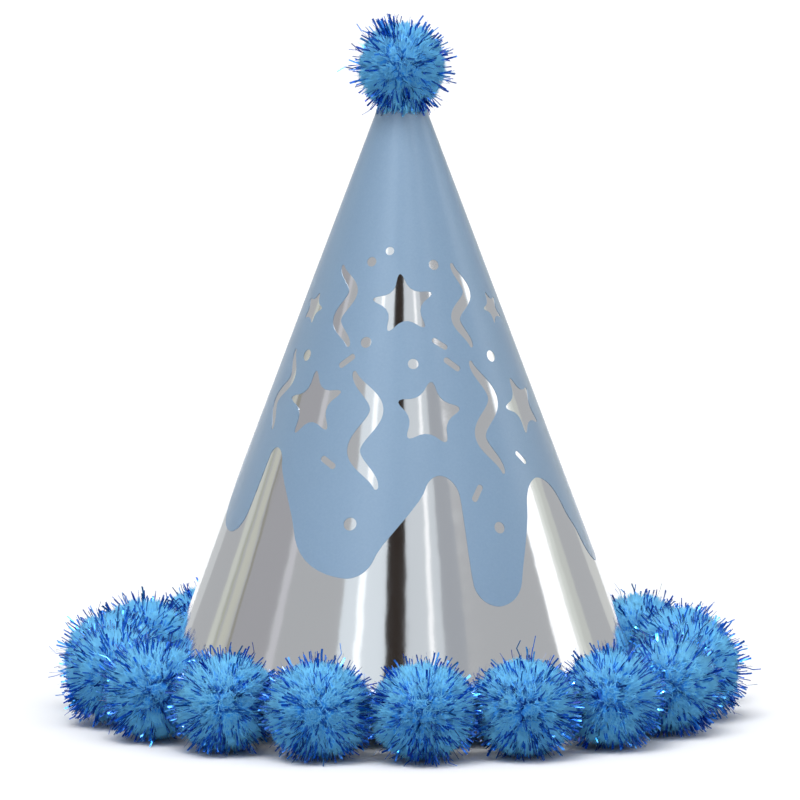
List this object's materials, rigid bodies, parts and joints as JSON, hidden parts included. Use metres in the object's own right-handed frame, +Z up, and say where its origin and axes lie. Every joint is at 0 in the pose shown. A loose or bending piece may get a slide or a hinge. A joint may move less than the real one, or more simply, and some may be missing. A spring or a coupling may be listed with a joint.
{
  "type": "party hat",
  "caption": "Tall conical party hat of lapped foil-faced card with a dripping-icing print, a plush and tinsel pom-pom on the point and a ring of them round the brim.",
  "frame": {"origin": "on the hat's axis, at the height of the table that its brim pom-poms stand on", "axes": "+Z up along the cone's axis to the point, -Y towards the front of the print, +X to the right seen from the front"},
  "size_m": [0.2078, 0.2084, 0.2132],
  "materials": {
    "foil_card": "paperboard faced with bright silver foil outside, printed with pearly pale blue ink, white board inside",
    "plush": "soft sky blue plush yarn mixed with dark iridescent blue tinsel film strips",
    "thread": "off-white twisted cotton thread",
    "hot_glue": "milky translucent hot-melt glue, smooth",
    "adhesive_film": "thin clear adhesive film"
  },
  "bodies": {
    "root": {"cone_card": "foil_card", "seam_adhesive": "adhesive_film", "tip_glue": "hot_glue", "tip_tie": "thread", "tip_pompom": "plush", "brim_glue_beads": "hot_glue", "brim_pompom_01": "plush", "brim_tie_01": "thread", "brim_pompom_02": "plush", "brim_tie_02": "thread", "brim_pompom_03": "plush", "brim_tie_03": "thread", "brim_pompom_04": "plush", "brim_tie_04": "thread", "brim_pompom_05": "plush", "brim_tie_05": "thread", "brim_pompom_06": "plush", "brim_tie_06": "thread", "brim_pompom_07": "plush", "brim_tie_07": "thread", "brim_pompom_08": "plush", "brim_tie_08": "thread", "brim_pompom_09": "plush", "brim_tie_09": "thread", "brim_pompom_10": "plush", "brim_tie_10": "thread", "brim_pompom_11": "plush", "brim_tie_11": "thread", "brim_pompom_12": "plush", "brim_tie_12": "thread", "brim_pompom_13": "plush", "brim_tie_13": "thread", "brim_pompom_14": "plush", "brim_tie_14": "thread", "brim_pompom_15": "plush", "brim_tie_15": "thread", "brim_pompom_16": "plush", "brim_tie_16": "thread", "brim_pompom_17": "plush", "brim_tie_17": "thread", "brim_pompom_18": "plush", "brim_tie_18": "thread"}
  },
  "joints": []
}
